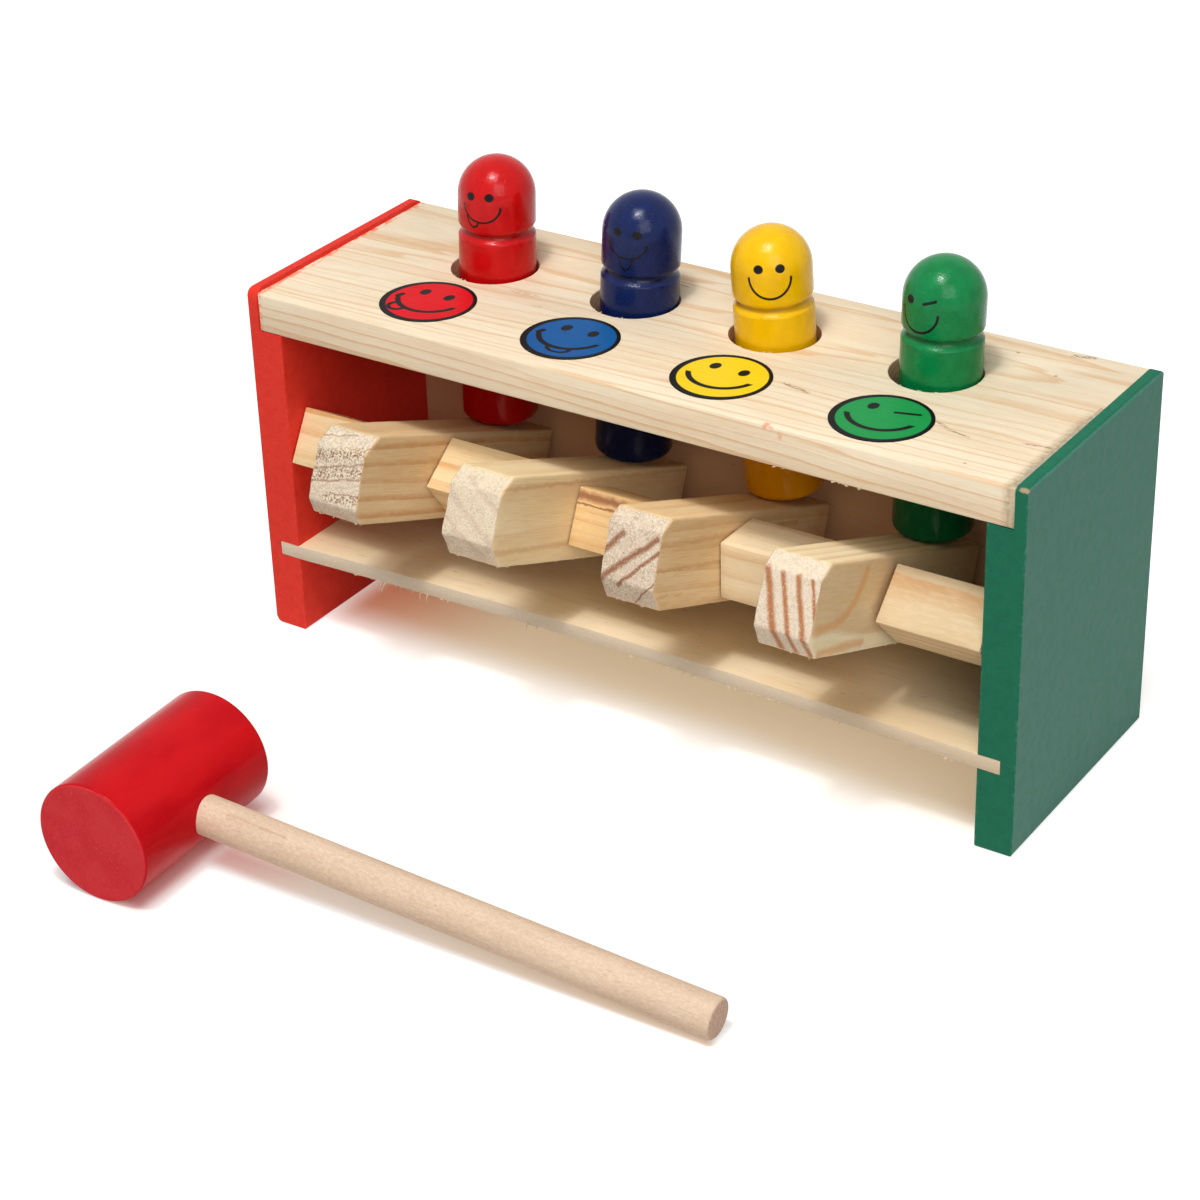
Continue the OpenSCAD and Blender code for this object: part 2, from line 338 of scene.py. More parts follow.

# %% [markdown]
# ## Sizes
#
# A new piece takes the place of its solid, so it is built from the same sizes, in millimetres:
# the places of the levers, the blocks and the rod come from the joints of the imported model, and
# the rest comes from the drawing.

# %% Sizes from the model
joints = {joint["name"]: joint for joint in frame["record"]["behaviour"]["joints"]}
COLOURS = ("red", "blue", "yellow", "green")
lever_x = [joints[colour + "_lever_tilt"]["pos_m"][0] / MM for colour in COLOURS]
axle_y, axle_z = (joints["red_lever_tilt"]["pos_m"][axis] / MM for axis in (1, 2))
block_x = [joints["spacer_%d_spin" % number]["pos_m"][0] / MM for number in range(1, 6)]
rest_tilt = math.radians(21.7375)
front_y, deck_top, deck_under = axle_y - 10.3, 99.5, 88.8
HALF_LENGTH, INNER_END, DEPTH, PANEL_THICK = 113.0, 102.7, 73.5, 10.3
SHELF_UNDER, SHELF_TOP, SHELF_BOW = 22.5, 26.5, 1.8
PEG_RADIUS, HOLE_RADIUS, BORE_RADIUS = 10.25, 11.7, 3.08
hole_y = front_y + 45.9
hole_x = [-65.70, -21.55, 20.00, 65.45]
print("levers at", [round(x, 2) for x in lever_x], "axle at", round(axle_y, 3), axle_z)

# %% [markdown]
# ## Bench tools
#
# A few helpers stand for a maker's habits: saw a blank to size, cut it, drill it, ease its
# edges. Each uses Blender's own operators. An operator acts on all that is selected, so a new
# blank starts with nothing else selected, and faces and edges are picked by their place.

# %% Blanks, picking and cuts
def blank(name, low, high):
    """A block between two corners in millimetres, with its place in its mesh."""
    bpy.ops.object.select_all(action="DESELECT")
    bpy.ops.mesh.primitive_cube_add(
        size=1, location=[(a + b) / 2 * MM for a, b in zip(low, high)],
        scale=[(b - a) * MM for a, b in zip(low, high)])
    bpy.ops.object.transform_apply(location=True, rotation=True, scale=True)
    bpy.context.object.name = name
    return bpy.context.object


def alone(piece):
    """Makes one piece active and selected, in object mode."""
    if bpy.context.object and bpy.context.object.mode != "OBJECT":
        bpy.ops.object.mode_set(mode="OBJECT")
    bpy.ops.object.select_all(action="DESELECT")
    piece.select_set(True)
    bpy.context.view_layer.objects.active = piece
    return piece


def pick(piece, kind, test):
    """Selects the faces or edges that pass a test, and stays in edit mode."""
    alone(piece)
    bpy.ops.object.mode_set(mode="EDIT")
    bpy.ops.mesh.select_mode(type=kind)
    bpy.ops.mesh.select_all(action="DESELECT")
    mesh = bmesh.from_edit_mesh(piece.data)
    mesh.normal_update()
    for part in mesh.faces if kind == "FACE" else mesh.edges:
        if test(part):
            part.select_set(True)
    bmesh.update_edit_mesh(piece.data)


def saw(piece, place, normal, waste=False):
    """Cuts the whole piece along a plane; waste takes off what lies beyond it."""
    pick(piece, "FACE", lambda face: True)
    bpy.ops.mesh.bisect(plane_co=[v * MM for v in place], plane_no=normal,
                        use_fill=waste, clear_outer=waste)
    bpy.ops.object.mode_set(mode="OBJECT")


def ease(piece, test, size, segments=2):
    """Bevels the edges that pass a test."""
    pick(piece, "EDGE", test)
    bpy.ops.mesh.bevel(offset=size * MM, segments=segments, affect="EDGES")
    bpy.ops.object.mode_set(mode="OBJECT")


def sharp(edge):
    return len(edge.link_faces) == 2 and edge.calc_face_angle(0) > 0.3


print("bench tools ready")

# %% Modifiers, drilling and joining
def modify(piece, kind, **settings):
    """Adds a modifier and applies it."""
    alone(piece)
    modifier = piece.modifiers.new(kind.lower(), kind)
    for name, value in settings.items():
        setattr(modifier, name, value)
    bpy.ops.object.modifier_apply(modifier=modifier.name)


def drill(piece, places, radius, depth, turn=(0, 0, 0)):
    """Bores round holes, each centred on a place in millimetres."""
    for place in places:
        bpy.ops.object.select_all(action="DESELECT")
        bpy.ops.mesh.primitive_cylinder_add(vertices=96, radius=radius * MM, depth=depth * MM,
                                            location=[v * MM for v in place], rotation=turn)
        bit = bpy.context.object
        modify(piece, "BOOLEAN", operation="DIFFERENCE", solver="EXACT", object=bit)
        bpy.data.objects.remove(bit)


def unite(piece, others):
    """Joins loose bits to a piece and leaves one object."""
    alone(piece)
    for other in others:
        other.select_set(True)
    bpy.ops.object.join()
    return piece


def place(piece, where=(0, 0, 0), turn=(0, 0, 0)):
    """Turns and moves a piece that was built at the origin, and applies it to its mesh."""
    alone(piece)
    piece.location = [v * MM for v in where]
    piece.rotation_euler = turn
    bpy.ops.object.transform_apply(location=True, rotation=True, scale=True)


def hand_over(piece, node, body, finish, angle=35):
    """Shading, finish and body: the piece now stands for its solid."""
    alone(piece)
    bpy.ops.object.shade_smooth_by_angle(angle=math.radians(angle))
    piece.data.materials.clear()
    piece.data.materials.append(finish.material)
    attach(piece, body)
    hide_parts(node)
    print(piece.name, "faces:", len(piece.data.polygons), "instead of", node)


print("modifiers ready")

# %% [markdown]
# ## Torn fibres
#
# Where a saw leaves soft pine or thin plywood, it tears short fibres out of the lower edge. A
# hair system could grow them, but the export would lose it. Two shapes are enough: a splinter,
# which is a block with one end pinched, and a curl, extruded and turned a few times while it
# shrinks. Each is modelled once, and copies with their own size and turn line a torn edge.

# %% A splinter and a curl
def splinter_shape():
    shape = blank("splinter", (-0.5, 0, -0.5), (0.5, 1, 0.5))
    pick(shape, "FACE", lambda face: face.normal.y > 0.9)
    bpy.ops.transform.resize(value=(0.25, 1, 0.1))
    bpy.ops.object.mode_set(mode="OBJECT")
    return shape


def curl_shape():
    shape = blank("curl", (-0.5, 0, -0.5), (0.5, 1.2, 0.5))
    pick(shape, "FACE", lambda face: face.normal.y > 0.9)
    for turn in (14, 22, 34, 48, 60):
        angle = math.radians(turn)
        step = (0, 1.5 * MM * math.cos(angle), -1.5 * MM * math.sin(angle))
        bpy.ops.mesh.extrude_region_move(TRANSFORM_OT_translate={"value": step})
        bpy.ops.transform.resize(value=(0.8, 0.9, 0.8))
    bpy.ops.object.mode_set(mode="OBJECT")
    return shape


splinter = splinter_shape()
curl = curl_shape()
print("torn fibre shapes:", len(splinter.data.polygons), len(curl.data.polygons))

# %% Copies along an edge
def fibre(shape, where, size, turn):
    """One copy of a torn fibre, with its own mesh."""
    copy = shape.copy()
    copy.data = shape.data.copy()
    copy.matrix_world = (Matrix.Translation([v * MM for v in where])
                         @ Euler([math.radians(angle) for angle in turn]).to_matrix().to_4x4()
                         @ Matrix.Diagonal((*size, 1)))
    scene.collection.objects.link(copy)
    copy.data.transform(copy.matrix_world)
    copy.matrix_world = Matrix.Identity(4)
    return copy


def torn_edge(dice, start, end, count, turn, longest, across=0.35):
    """Splinters scattered along a line, more of them where the wood tore."""
    copies = []
    for _ in range(count):
        share = dice.random()
        spot = [a + (b - a) * share for a, b in zip(start, end)]
        size = (across * dice.uniform(0.5, 2.2), longest * dice.uniform(0.25, 1) ** 2 + 0.1,
                0.16 * dice.uniform(0.6, 1.4))
        tip = [angle + dice.uniform(-28, 28) for angle in turn]
        copies.append(fibre(splinter, spot, size, tip))
    return copies


print("a torn edge is a list of copies, joined to its board")

# %% [markdown]
# ## Drawing with distances
#
# Splits in the deck and the printed faces are drawn in the shader, at any sharpness, from
# distances: a dot is all that lies within its radius, and a stroke is all that lies near a line.
# Each helper gives 1 on the mark and 0 off it, and `drawn` puts marks together.

# %% Dots, strokes and arcs
def outward(x, y, centre, radii):
    """0 at the centre of an oval and 1 on its line."""
    return (((x - centre[0]) / radii[0]) ** 2 + ((y - centre[1]) / radii[1]) ** 2) ** 0.5


def dot(x, y, centre, radii, soft=0.12):
    return 1 - outward(x, y, centre, radii).step(1 - soft / radii[0], 1 + soft / radii[0])


def ring(x, y, centre, radii, half, soft=0.12):
    gap = abs(outward(x, y, centre, radii) - 1) * radii[0]
    return 1 - gap.step(half - soft, half + soft)


def stroke(x, y, start, end, half, soft=0.12):
    run = (end[0] - start[0], end[1] - start[1])
    span = run[0] ** 2 + run[1] ** 2
    share = (((x - start[0]) * run[0] + (y - start[1]) * run[1]) / span).most(0).least(1)
    gap = ((x - start[0] - share * run[0]) ** 2 + (y - start[1] - share * run[1]) ** 2) ** 0.5
    return 1 - gap.step(half - soft, half + soft)


def below(x, y, start, end, soft=0.3):
    """1 under the line through two points, given from left to right."""
    slope = (end[1] - start[1]) / (end[0] - start[0])
    return ((x - start[0]) * slope + start[1] - y).step(-soft, soft)


def drawn(marks):
    """Several marks as one."""
    together = marks[0]
    for mark in marks[1:]:
        together = together.most(mark)
    return together


print("marks: dot, ring, stroke, below, put together by drawn")

# %% [markdown]
# ## Pine
#
# All the bare wood is one idea with different numbers. A log's growth rings are circles round
# its pith. A board is a slice of that log, so its rings are the distance from the pith line,
# and they come out as stripes on its faces and arcs on its sawn ends by themselves. Each ring
# darkens slowly and ends sharply. An image would have to be unwrapped on every piece; a pattern
# in space needs nothing and agrees round every edge. Fine noise drawn out along the fibres gives
# the streaks, and where a face looks along the fibres, the same noise turns into open pores.

# %% Growth rings and fibres
def sawn_marks(finish, across, up, lines):
    """Single rings of a sawn end, as wavering strokes from start to end."""
    waver = (finish.noise(across * 0.4, up * 0.4, 7.0, detail=3) - 0.5) * 1.6
    return drawn([stroke(across, up + waver, start, end, half, half * 0.7 + 0.05)
                  for start, end, half in lines])


def pine(finish, along, across, up, look, turn=(0, 0, 0), fibre_axis=0):
    """Bare pine from the pith outwards, in millimetres of the board."""
    def drawn_out(long, wide, shift=0.0, **settings):
        return finish.noise(along * long, across * wide, up * wide + shift, **settings)

    long_tones, sawn_tones = ([tone(*shade) for shade in look[key]] for key in ("long", "sawn"))
    slow = drawn_out(0.012, 0.05, detail=2)
    uneven = finish.noise(across * 0.2, up * 0.2, 1.7, detail=1)
    radius = ((across - look["pith"][0]) ** 2 + (up - look["pith"][1]) ** 2) ** 0.5
    phase = (radius + along * look["taper"] + (uneven - 0.5) * look["uneven"]
             + (slow - 0.5) * look["wander"]) / look["ring"]
    number = phase.floor()
    within = phase - number
    ring_end = 1 - within.step(0.93, 1.0)
    late = within.step(*look["late"]) * ring_end
    strength = finish.noise(number * 3.7, 0.5, 0.5, detail=0).step(0.3, 0.6) * 0.75 + 0.25
    streak = drawn_out(0.045, 1.5, detail=3, roughness=0.6)
    broad = drawn_out(0.02, 0.16, detail=1)
    hair = drawn_out(0.12, 3.2, 5, detail=2)
    mottle = drawn_out(0.22, 0.9, 9, detail=4, roughness=0.65)
    long_grain = finish.layers(
        long_tones[0], (broad.step(0.35, 0.65), long_tones[1]),
        (late * strength * look["contrast"], long_tones[2]),
        (streak.step(0.5, 0.8) * look["streaks"], tone(222, 190, 148)),
        (hair.step(0.48, 0.66) * look["hair"], tone(206, 162, 112)),
        (mottle.step(0.45, 0.62) * 0.12, tone(248, 234, 206)))
    if "side_lines" in look:
        marks = sawn_marks(finish, along, up, look["side_lines"])
        long_grain = finish.mix(marks * look["side_strength"], long_grain, tone(*look["side"]))

    # A face that looks along the fibres shows rings, open pores and torn fuzz
    end = abs(finish.facing(turn)[fibre_axis]).step(0.45, 0.75)
    pore = drawn_out(0.7, 1.75, detail=3, roughness=0.75)
    blot = finish.noise(across * 0.35, up * 0.35, 3.0, detail=3)
    patch = finish.noise(across * 0.3, up * 0.3, 11.0, detail=3).step(0.4, 0.6) * 0.65 + 0.35
    ring_line = within.step(0.55, 0.8) * ring_end
    if "lines" in look:
        ring_line = sawn_marks(finish, across, up, look["lines"])
    open_pores = (1 - pore.step(0.34, 0.48)) * patch * look["pores"]
    if "porous" in look:
        bands = sawn_marks(finish, across, up, look["porous"])
        open_pores = (1 - pore.step(0.42, 0.53)) * (bands * 0.8 + 0.14)
    cut = finish.layers(
        sawn_tones[0], (blot.step(0.4, 0.65) * 0.5, sawn_tones[1]),
        (pore.step(0.46, 0.62) * look["fuzz"], tone(248, 236, 214)),
        (ring_line * look["end_contrast"] * (1 - pore.step(0.55, 0.68) * 0.5), sawn_tones[2]),
        (open_pores, tone(*look["pore"])))
    height = (streak * 0.35 + hair * 0.5 + late * 0.4) * (1 - end) + pore * end * 3.4
    return {"colour": finish.mix(end, long_grain, cut), "height": height, "streak": streak}


def bare(finish, grain, colour=None):
    """A dry, sanded surface with the relief of its grain."""
    return finish.coat(colour or grain["colour"], 0.62 + grain["streak"] * 0.2,
                       grain["height"], 0.09, 0.25)


# What a piece of pine can change. Of three tones, two are early wood and one is late wood.
PALE = {"long": ((240, 222, 190), (236, 214, 176), (214, 168, 112)),
        "sawn": ((224, 202, 174), (224, 202, 174), (176, 132, 104)),
        "side": (200, 144, 88), "pore": (158, 122, 90),
        "taper": 0.0, "uneven": 0.0, "wander": 6.0, "late": (0.35, 0.9), "contrast": 0.6,
        "streaks": 0.25, "hair": 0.2, "side_strength": 0.4, "fuzz": 0.45, "end_contrast": 0.7,
        "pores": 0.35}
print("values that a piece of pine can change:", len(PALE))

# %% [markdown]
# ## Deck
#
# The deck is one pine board, about 11 mm thick, glued into rabbets in the end panels. Its long
# edges are eased, the drill left a small rim at each hole, and the saw tore fibres out of the
# lower front edge. The solid could just be painted. It is built again from a blank instead,
# because the rims and the torn edge catch the light in the photograph.

# %% The deck board
def runs_along(edge, axis):
    run = (edge.verts[1].co - edge.verts[0].co).normalized()
    return abs(run[axis]) > 0.99


def long_or_front(edge):
    """The long edges, and the upright ones at the front corners."""
    in_front = edge.verts[0].co.y < (front_y + 0.01) * MM
    return runs_along(edge, 0) or (runs_along(edge, 2) and in_front)


def hole_rim(edge):
    middle = (edge.verts[0].co + edge.verts[1].co) / 2 / MM
    on_face = abs(middle.z - deck_top) < 0.01 or abs(middle.z - deck_under) < 0.01
    return on_face and any(abs(math.hypot(middle.x - x, middle.y - hole_y) - HOLE_RADIUS) < 0.02
                           for x in hole_x)


DECK_END = 109.7
deck = blank("deck", (-DECK_END, front_y, deck_under), (DECK_END, front_y + DEPTH, deck_top))
ease(deck, long_or_front, 0.8, 3)
drill(deck, [(x, hole_y, (deck_top + deck_under) / 2) for x in hole_x], HOLE_RADIUS, 20)
ease(deck, hole_rim, 0.3)
print("deck faces:", len(deck.data.polygons))

# %% Its torn edges
dice = random.Random(4)
low_front = (front_y + 0.4, deck_under + 0.25)
bits = []
for start, end, count, longest, across in ((46, 50, 3, 0.4, 0.8), (60, 70, 9, 0.5, 0.9)):
    bits += torn_edge(dice, (start, *low_front), (end, *low_front), count, (-80, 0, 50),
                      longest, across)
for x in hole_x:
    for _ in range(6):
        swing = math.radians(dice.uniform(-125, -60))
        spot = (x + 11.6 * math.cos(swing), hole_y + 11.6 * math.sin(swing), deck_top - 0.14)
        size = (0.3, dice.uniform(0.3, 0.8), 0.12)
        tip = (dice.uniform(-15, 10), 0, math.degrees(swing) + 90 + dice.uniform(-60, 60))
        bits.append(fibre(splinter, spot, size, tip))
unite(deck, bits)
print("deck with its torn fibres:", len(deck.data.polygons))

# %% Glue squeezed out along the green panel
glue = blank("glue", (108.4, front_y + 1.5, deck_top - 0.1),
             (110.1, front_y + 47, deck_top + 0.3))
for index in range(1, 46):
    saw(glue, (0, front_y + 1.5 + index, 0), (0, 1, 0))
for x in (108.8, 109.2, 109.6):
    saw(glue, (x, 0, 0), (1, 0, 0))
ease(glue, lambda edge: edge.verts[0].co.z > deck_top * MM and sharp(edge), 0.15)
film = bpy.data.textures.new("squeezed_glue", "CLOUDS")
film.noise_scale = 0.0022
modify(glue, "DISPLACE", texture=film, texture_coords="LOCAL", strength=1.3 * MM, mid_level=0.66)
unite(deck, [glue])
print("deck with its glue:", len(deck.data.polygons))

# %% Its finish
deck_pine = Finish("deck_pine", place=(0, front_y, deck_under))
x, y, z = deck_pine.x, deck_pine.y, deck_pine.z
grain = pine(deck_pine, x, y, z, {
    **PALE, "long": ((239, 223, 195), (234, 213, 182), (214, 160, 100)), "pith": (60, -42),
    "ring": 1.9, "taper": 0.018, "wander": 4.5, "uneven": 4.0, "contrast": 0.52,
    "late": (0.58, 0.92), "streaks": 0.2, "hair": 0.16})

# Knots, splits and small dark pits of the board
SPLITS = (((37.0, 21.7), (44.3, 20.1), 0.35), ((78.6, 21.6), (83.1, 19.1), 0.3),
          ((83.6, 18.9), (88.6, 17.8), 0.2), ((101.2, 21.3), (107.3, 22.2), 0.2),
          ((90.4, 70.6), (95.1, 71.9), 0.45), ((-20, 60), (-14, 59.6), 0.15))
splits = drawn([stroke(x, y, start, end, half * 1.5, half * 1.4) for start, end, half in SPLITS])
KNOTS = (((-48.5, 35.0), (4.5, 1.1), 1.0), ((-41.4, 30), (1.6, 0.7), 0.6))
knots = drawn([dot(x, y, *knot) for knot in KNOTS])
PITS = (((77.7, 65.6), (0.5, 0.35), 0.25), ((91.6, 58.0), (0.4, 0.4), 0.25),
        ((94, 5.6), (0.4, 0.3), 0.2))
pits = drawn([dot(x, y, *pit) for pit in PITS])
ragged = deck_pine.noise(x * 0.9, y * 2.6, z, detail=3).step(0.36, 0.6)

# Paint on the seam and the edge, painted shade on the walls of the holes, and the glue
seam = 1 - (x + DECK_END).step(0.5, 2.0)
smear = seam * deck_pine.noise(x, y * 0.35, z, detail=3).step(0.44, 0.58)
rub = drawn([dot(x, z, (44.7, 10.2), (1.5, 0.9), 0.9), dot(x, z, (48.2, 8.6), (0.5, 0.8), 0.6)])
rub = rub * (1 - y.step(0.6, 1.6))
rub = rub * deck_pine.noise(x * 0.9, y, z * 0.9, detail=3).step(0.36, 0.6)
# The walls of the holes are painted a darker, warmer brown: painted shade inside the holes
wall = (HOLE_RADIUS + 0.2, HOLE_RADIUS + 0.2)
painted_hole_shade = drawn([dot(x, y, (hole, hole_y - front_y), wall, 0.1) for hole in hole_x])
is_glue = z.step(10.74, 10.8) * x.step(105, 106)
stained = x.step(105.6, 109.0) * (1 - y.step(34, 50)) * (ragged * 0.4 + 0.45)
bead = x.step(107.7, 108.6) * (1 - y.step(0.5, 1.2)) * 0.7
wood = deck_pine.layers(
    grain["colour"], (knots * ragged * 0.45, tone(196, 142, 96)),
    (splits * ragged * 0.8, tone(140, 98, 64)), (pits * 0.6, tone(120, 90, 66)),
    ((smear * 0.75).most(rub * 0.6), tone(230, 100, 62)),
    (painted_hole_shade * (1 - z.step(10.1, 10.5)) * 0.65, tone(188, 126, 78)),
    (stained.most(is_glue * 0.75), tone(146, 124, 88)), (bead, tone(206, 190, 160)))
bare(deck_pine, grain, wood)
deck_pine.surface(Roughness=0.62 + grain["streak"] * 0.2 - is_glue * 0.4,
                  Coat_Weight=is_glue, Coat_Roughness=0.12)
hand_over(deck, "deck_board", "bench", deck_pine)

# %% [markdown]
# ## Levers
#
# Each lever is a square-cut bar that tilts on the rod. Its front end, where a hand presses, has
# its upper and lower corners sawn off, never quite the same way twice, and its surfaces are a
# little uneven. The bar is sawn from a blank with bisect cuts, as it was made. More cuts across
# it then give a Displace modifier something to move, strongest at the rough front end.

# %% How a lever is made
# How far each reaches from the rod, and the run and rise of its upper and lower bevel
LEVERS = (
    {"reach": 39.7, "top": (5.2, 4.7), "foot": (3.6, 5.7)},
    {"reach": 42.8, "top": (4.4, 5.4), "foot": (5.2, 5.4)},
    {"reach": 38.4, "top": (3.3, 5.5), "foot": (5.2, 5.3)},
    {"reach": 39.7, "top": (3.9, 3.6), "foot": (4.6, 6.4)},
)
LEVER_WIDE, LEVER_HIGH, LEVER_REAR = 7.75, 11.5, 47.3
ROUGH = bpy.data.textures.new("rough_saw_cut", "CLOUDS")
ROUGH.noise_scale = 0.0045


def roughen(piece, weight, strength):
    """Moves the surface a little in or out, by a weight from 0 to 1 at each place."""
    group = piece.vertex_groups.new(name="rough")
    for vertex in piece.data.vertices:
        group.add([vertex.index], weight(vertex.co / MM), "REPLACE")
    modify(piece, "DISPLACE", texture=ROUGH, texture_coords="LOCAL", strength=strength * MM,
           mid_level=0.62, vertex_group="rough")


def lever_bar(name, shape):
    reach = shape["reach"]
    bar = blank(name, (-LEVER_WIDE, -reach, -LEVER_HIGH), (LEVER_WIDE, LEVER_REAR, LEVER_HIGH))
    for side, (run, rise) in ((1, shape["top"]), (-1, shape["foot"])):
        saw(bar, (0, run - reach, side * LEVER_HIGH), (0, -rise, side * run), waste=True)
    ease(bar, sharp, 0.6, 3)
    for y in [index * 3.0 - reach + 0.9 for index in range(6)] + [-12, 0, 12, 24, 36]:
        saw(bar, (0, y, 0), (0, 1, 0))
    for x in (-5.2, -2.6, 0, 2.6, 5.2):
        saw(bar, (x, 0, 0), (1, 0, 0))
    for z in (-9.2, -6.9, -4.6, -2.3, 0, 2.3, 4.6, 6.9, 9.2):
        saw(bar, (0, 0, z), (0, 0, 1))
    roughen(bar, lambda spot: 1.0 if spot.y < 3.5 - reach else 0.24, 1.0)
    drill(bar, [(0, 0, 0)], BORE_RADIUS, 20, (0, math.pi / 2, 0))
    return bar


print("lever reaches:", [shape["reach"] for shape in LEVERS])

# %% Four levers
levers = []
for number, (colour, shape) in enumerate(zip(COLOURS, LEVERS)):
    bar = lever_bar("lever_under_%s_peg" % colour, shape)
    dice = random.Random(20 + number)
    foot_y = shape["foot"][0] - shape["reach"]
    left, right, back = (-7.4, foot_y, -11.3), (7.4, foot_y, -11.3), (7.4, 20, -11.3)
    bits = torn_edge(dice, left, right, 8, (-100, 0, 0), 0.5, 0.5)
    bits += torn_edge(dice, right, back, 8, (-90, 0, 90), 0.5, 0.5)
    unite(bar, bits)
    place(bar, (lever_x[number], axle_y, axle_z), (-rest_tilt, 0, 0))
    levers.append(bar)

# %% [markdown]
# The four bars come from four different slices of the tree, which their sawn ends show: flat
# rings on the red peg's lever, almost none on the blue one's, three dark slanting ones on the
# yellow one's and four upright ones on the green one's. So they share one recipe, with the pith
# in another place. The local Y axis runs along the fibres.

# %% Their finishes
LEVER_PINE = (
    {"pith": (-39, 155), "ring": 4.4, "contrast": 0.85, "late": (0.5, 0.85), "wander": 3,
     "streaks": 0.4, "end_contrast": 0.75, "fuzz": 0.6, "hair": 0.3, "pore": (136, 94, 56),
     "long": ((230, 202, 158), (222, 190, 142), (202, 150, 96)),
     "sawn": ((222, 204, 180), (206, 184, 158), (162, 120, 96)),
     "lines": (((-8, 0.0), (8.4, 4.5), 0.28), ((-8, -3.4), (8.4, 0.5), 0.22),
               ((-1, -5.0), (8.5, -4.0), 0.2), ((-8, 8.4), (2, 10.4), 0.15)),
     "porous": (((-8, 3.1), (8.4, 6.9), 1.5), ((-8, -1.6), (8.4, 2.5), 1.3),
                ((-2, -6.4), (8.5, -5.0), 1.0))},
    {"pith": (-90, -70), "ring": 7.0, "contrast": 0.35, "wander": 4, "end_contrast": 0.4,
     "pores": 0.4, "fuzz": 0.5, "pore": (182, 146, 108),
     "long": ((246, 226, 182), (242, 218, 170), (214, 168, 112)),
     "sawn": ((230, 212, 182), (214, 190, 164), (202, 172, 152)),
     "side_lines": (((-44, 8.2), (48, 10.4), 0.5), ((-44, -7.8), (48, -5.6), 0.7)),
     "lines": (((-3.3, 9.3), (7.4, 2.8), 0.6), ((-7.5, 4.6), (7.4, -5.9), 0.7),
               ((-7.5, -1.5), (4, -9), 0.5))},
    {"pith": (-62, 82), "ring": 3.9, "contrast": 0.5, "wander": 3, "end_contrast": 0.9,
     "pores": 0.55, "fuzz": 0.5, "hair": 0.3, "pore": (152, 116, 84),
     "long": ((241, 213, 166), (236, 202, 150), (214, 168, 112)),
     "sawn": ((218, 198, 174), (204, 178, 152), (146, 88, 50)),
     "side_lines": (((-40, -8.3), (-31, -8.0), 0.35), ((-27, -8.0), (-24, -7.8), 0.3),
                    ((-40, 4.6), (30, 7.4), 0.6), ((-40, -1.5), (30, 0.5), 0.4)),
     "lines": (((-8, -0.2), (-3.1, 5.5), 0.75), ((-8, -7.0), (6.3, 6.0), 0.75),
               ((-2.8, -7.5), (7.4, 3.0), 0.4), ((1.0, -11.0), (7.6, -4.6), 0.2))},
    {"pith": (-140, 4), "ring": 3.8, "wander": 3, "end_contrast": 0.95, "pores": 0.3,
     "fuzz": 0.5, "side_strength": 0.6, "side": (228, 162, 98),
     "long": ((251, 235, 198), (248, 228, 184), (214, 168, 112)),
     "sawn": ((230, 212, 188), (220, 198, 170), (182, 112, 62)),
     "side_lines": (((-40, -4.9), (-29, -3.9), 1.2), ((-29, -3.9), (-23.5, -2.0), 1.3),
                    ((-23.5, -2.0), (-20, 1.2), 1.3), ((-20, 1.2), (-17.5, 5.5), 1.3),
                    ((-17.5, 5.5), (-16.5, 9), 1.3), ((-34, -10.4), (-12, -9.2), 1.0)),
     "lines": (((-6.5, 7.2), (-0.8, -11.6), 0.85), ((-2.3, 7.1), (3.1, -11.6), 0.6),
               ((1.7, 7.2), (7.0, -11.6), 0.7), ((5.5, 7.1), (9.3, -7.3), 0.45))},
)
for number, (bar, colour, look) in enumerate(zip(levers, COLOURS, LEVER_PINE)):
    finish = Finish("lever_pine_%d" % (number + 1), (lever_x[number], axle_y, axle_z),
                    (-rest_tilt, 0, 0))
    grain = pine(finish, finish.y, finish.x, finish.z, {**PALE, **look}, (-rest_tilt, 0, 0), 1)
    bare(finish, grain)
    hand_over(bar, "%s_peg_lever" % colour, "%s_lever" % colour, finish)

# %% [markdown]
# ## Spacer blocks
#
# Five short square blocks sit loose on the rod and keep the levers apart, so each has turned
# its own way. They are cut from other strips of pine: one orange, one with a dark reddish band.
# Their fibres run along the rod.

# %% Five blocks
BLOCK_TURN = (-30, 36, -25, 0, 45)
BLOCK_LONG, BLOCK_WIDE = 13.8, 7.7
BLOCK_PINE = (
    {"pith": (30, 40), "ring": 4.6, "contrast": 0.9,
     "long": ((236, 210, 164), (230, 198, 148), (212, 154, 90))},
    {"pith": (-36, 24), "ring": 5.0, "contrast": 0.7,
     "long": ((238, 212, 164), (232, 197, 140), (212, 152, 88))},
    {"pith": (4, 60), "ring": 2.6, "contrast": 0.4, "wander": 3, "side": (142, 82, 54),
     "long": ((232, 196, 138), (226, 186, 128), (206, 148, 86)), "side_strength": 0.85,
     "side_lines": (((-14, 5.6), (14, 5.9), 1.0), ((-14, 3.3), (14, 3.6), 0.25))},
    {"pith": (40, 30), "ring": 3.4, "contrast": 0.5,
     "long": ((237, 217, 180), (233, 208, 166), (212, 170, 118))},
    {"pith": (-12, 46), "ring": 4.2, "contrast": 0.7,
     "long": ((212, 188, 149), (206, 179, 138), (200, 148, 96))},
)
